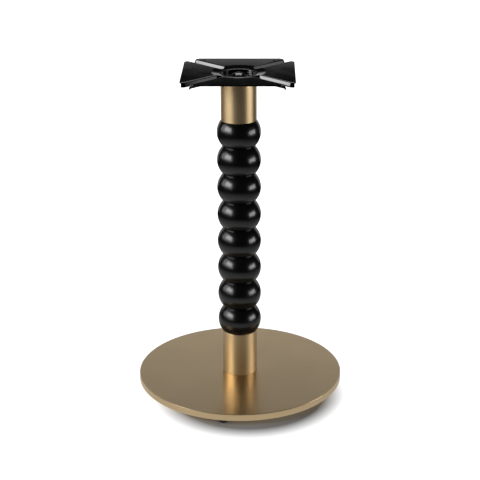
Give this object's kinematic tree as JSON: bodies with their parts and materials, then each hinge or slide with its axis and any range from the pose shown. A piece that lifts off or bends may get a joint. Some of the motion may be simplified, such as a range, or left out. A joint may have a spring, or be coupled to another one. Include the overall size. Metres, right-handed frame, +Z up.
{
  "type": "table base",
  "caption": "Pedestal table base: round brass-finished floor plate, black bobbin-turned column between brass collars, and a pressed-steel mounting spider.",
  "frame": {"origin": "centre of the footprint, on the floor under the column's axis", "axes": "+Z up along the column, -Y towards the front of the pictured view, the spider's wings along X and Y"},
  "size_m": [0.4499, 0.45, 0.7097],
  "materials": {
    "brass_finish": "satin brass plating on steel",
    "black_lacquer": "gloss black lacquer on turned wood",
    "black_enamel": "gloss black enamel on pressed steel",
    "plain_steel": "zinc-plated steel",
    "black_rubber": "matt black moulded rubber"
  },
  "bodies": {
    "root": {"base_plate": "brass_finish", "locating_disc": "plain_steel", "locating_screw_1": "plain_steel", "locating_screw_2": "plain_steel", "locating_screw_3": "plain_steel", "lower_collar": "brass_finish", "bobbin_column": "black_lacquer", "upper_collar": "brass_finish", "mounting_spider": "black_enamel", "tie_bolt": "black_enamel", "tie_washer": "plain_steel", "tie_nut": "plain_steel", "glide_1": "black_rubber", "glide_2": "black_rubber", "glide_3": "black_rubber", "glide_4": "black_rubber", "glide_screw_1": "plain_steel", "glide_screw_2": "plain_steel", "glide_screw_3": "plain_steel", "glide_screw_4": "plain_steel"}
  },
  "joints": []
}
